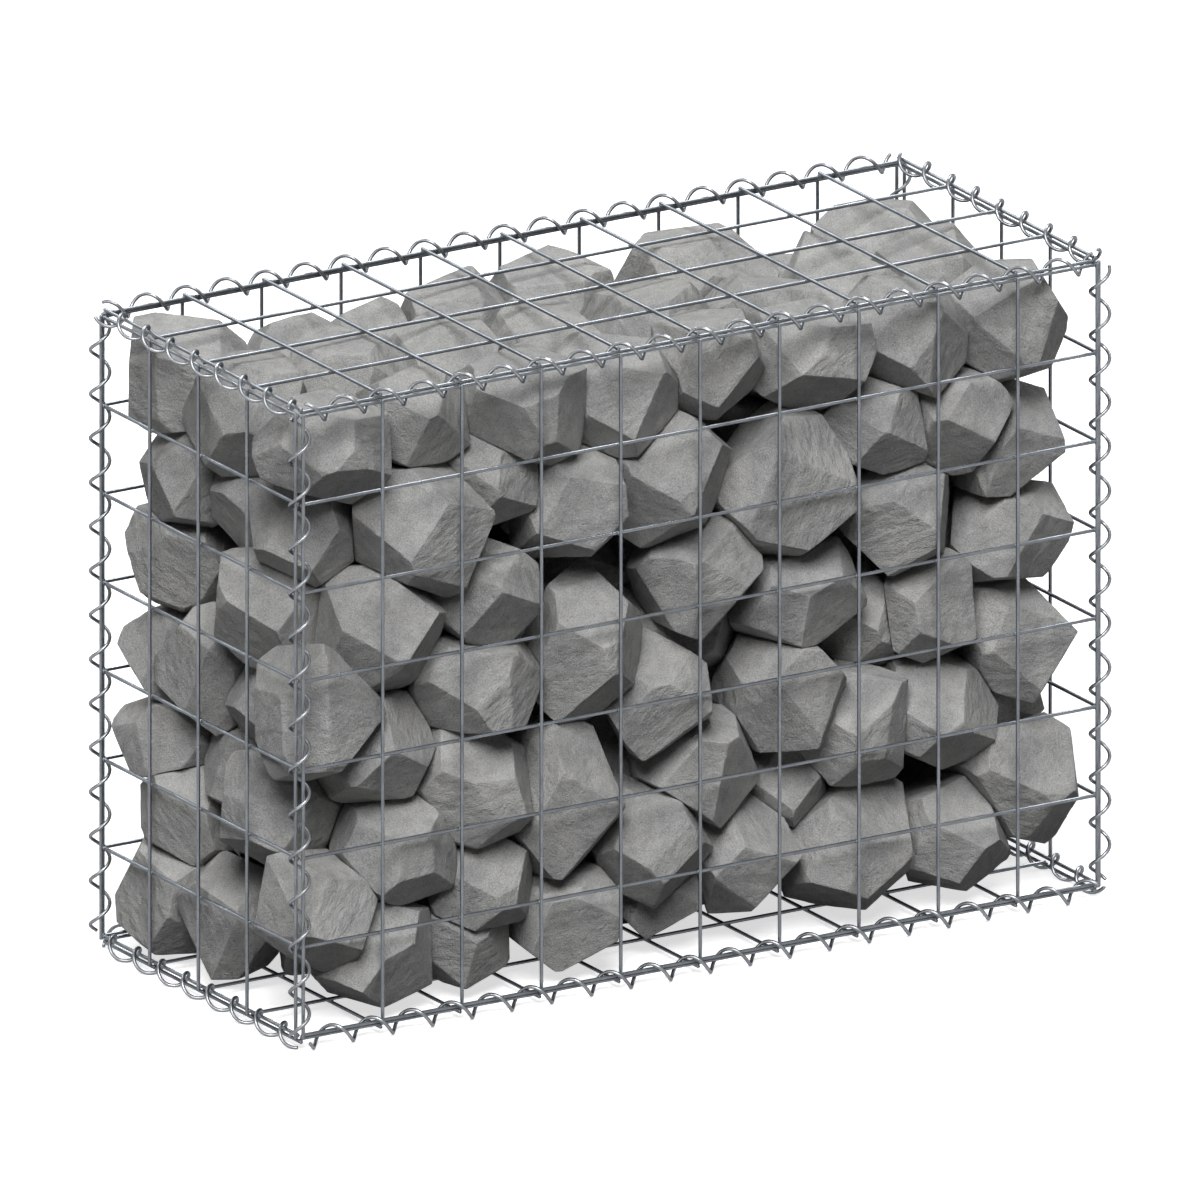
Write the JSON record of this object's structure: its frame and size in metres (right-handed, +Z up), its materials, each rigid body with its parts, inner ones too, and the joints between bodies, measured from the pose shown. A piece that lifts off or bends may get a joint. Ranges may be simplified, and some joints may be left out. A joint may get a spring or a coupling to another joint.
{
  "type": "gabion wall",
  "caption": "Free-standing gabion wall: a welded wire mesh basket laced with spiral binders and packed with rough quarry stones.",
  "frame": {"origin": "on the ground under the middle of the basket", "axes": "+X along the wall, +Y from the front to the back, +Z up"},
  "size_m": [1.0332, 0.4358, 0.7332],
  "materials": {
    "mesh_wire": "galvanised welded wire, dull blue-grey zinc",
    "spiral_wire": "galvanised spring wire, brighter than the mesh",
    "stone": "rough broken quarry stone, warm mid grey with fine grain"
  },
  "bodies": {
    "root": {"front_panel": "mesh_wire", "back_panel": "mesh_wire", "left_end_panel": "mesh_wire", "right_end_panel": "mesh_wire", "base_panel": "mesh_wire", "lid_panel": "mesh_wire", "spiral_front_left": "spiral_wire", "spiral_front_right": "spiral_wire", "spiral_back_left": "spiral_wire", "spiral_back_right": "spiral_wire", "spiral_front_top": "spiral_wire", "spiral_back_top": "spiral_wire", "spiral_front_bottom": "spiral_wire", "spiral_back_bottom": "spiral_wire", "spiral_left_top": "spiral_wire", "spiral_right_top": "spiral_wire", "spiral_left_bottom": "spiral_wire", "spiral_right_bottom": "spiral_wire", "stones_front_course_1": "stone", "stones_middle_course_1": "stone", "stones_back_course_1": "stone", "stones_front_course_2": "stone", "stones_middle_course_2": "stone", "stones_back_course_2": "stone", "stones_front_course_3": "stone", "stones_middle_course_3": "stone", "stones_back_course_3": "stone", "stones_front_course_4": "stone", "stones_middle_course_4": "stone", "stones_back_course_4": "stone", "stones_front_course_5": "stone", "stones_middle_course_5": "stone", "stones_back_course_5": "stone", "stones_front_course_6": "stone", "stones_middle_course_6": "stone", "stones_back_course_6": "stone"}
  },
  "joints": []
}
